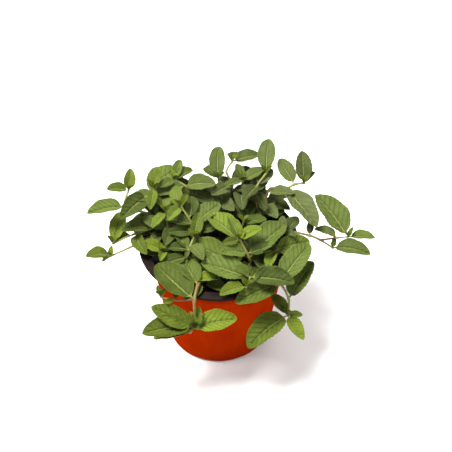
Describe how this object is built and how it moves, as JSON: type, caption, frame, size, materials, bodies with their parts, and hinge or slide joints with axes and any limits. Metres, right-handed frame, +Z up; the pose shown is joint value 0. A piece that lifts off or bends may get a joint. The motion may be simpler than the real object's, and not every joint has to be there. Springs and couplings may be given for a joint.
{
  "type": "potted mint plant",
  "caption": "Bushy mint plant with trailing leafy shoots growing from soil in a round two-tone plastic nursery pot.",
  "frame": {"origin": "middle of the pot's flat base, on the surface it stands on", "axes": "+Z up along the pot's axis; -Y towards the side where two shoots hang down over the rim; +X to the right of that view"},
  "size_m": [0.1896, 0.1252, 0.1292],
  "materials": {
    "pot": "satin",
    "soil": "matte",
    "stem": "satin",
    "leaf": "satin"
  },
  "bodies": {
    "root": {"pot": "pot", "soil": "soil", "stem_back_centre": "stem", "stem_back_inner": "stem", "stem_back_left": "stem", "stem_back_mid": "stem", "stem_back_right": "stem", "stem_centre": "stem", "stem_centre_low": "stem", "stem_front_left": "stem", "stem_front_mid": "stem", "stem_front_right": "stem", "stem_inner_grey": "stem", "stem_inner_left": "stem", "stem_left_back": "stem", "stem_left_edge": "stem", "stem_left_front": "stem", "stem_left_high": "stem", "stem_left_low": "stem", "stem_left_mid": "stem", "stem_low_front": "stem", "stem_low_left": "stem", "stem_low_right": "stem", "stem_middle": "stem", "stem_right_inner": "stem", "stem_right_long": "stem", "stem_right_thin": "stem", "leaf_back_mid_1": "leaf", "leaf_back_right_1": "leaf", "leaf_centre_1": "leaf", "leaf_centre_2": "leaf", "leaf_centre_low_1": "leaf", "leaf_front_left_1": "leaf", "leaf_front_left_2": "leaf", "leaf_front_left_3": "leaf", "leaf_front_left_4": "leaf", "leaf_front_left_5": "leaf", "leaf_front_left_6": "leaf", "leaf_front_mid_1": "leaf", "leaf_front_mid_2": "leaf", "leaf_front_right_1": "leaf", "leaf_front_right_2": "leaf", "leaf_front_right_3": "leaf", "leaf_front_right_4": "leaf", "leaf_inner_left_1": "leaf", "leaf_left_back_1": "leaf", "leaf_left_back_2": "leaf", "leaf_left_edge_1": "leaf", "leaf_left_high_1": "leaf", "leaf_left_mid_1": "leaf", "leaf_right_inner_1": "leaf", "leaf_right_long_1": "leaf", "leaf_right_long_2": "leaf", "leaf_right_thin_1": "leaf"}
  },
  "joints": []
}
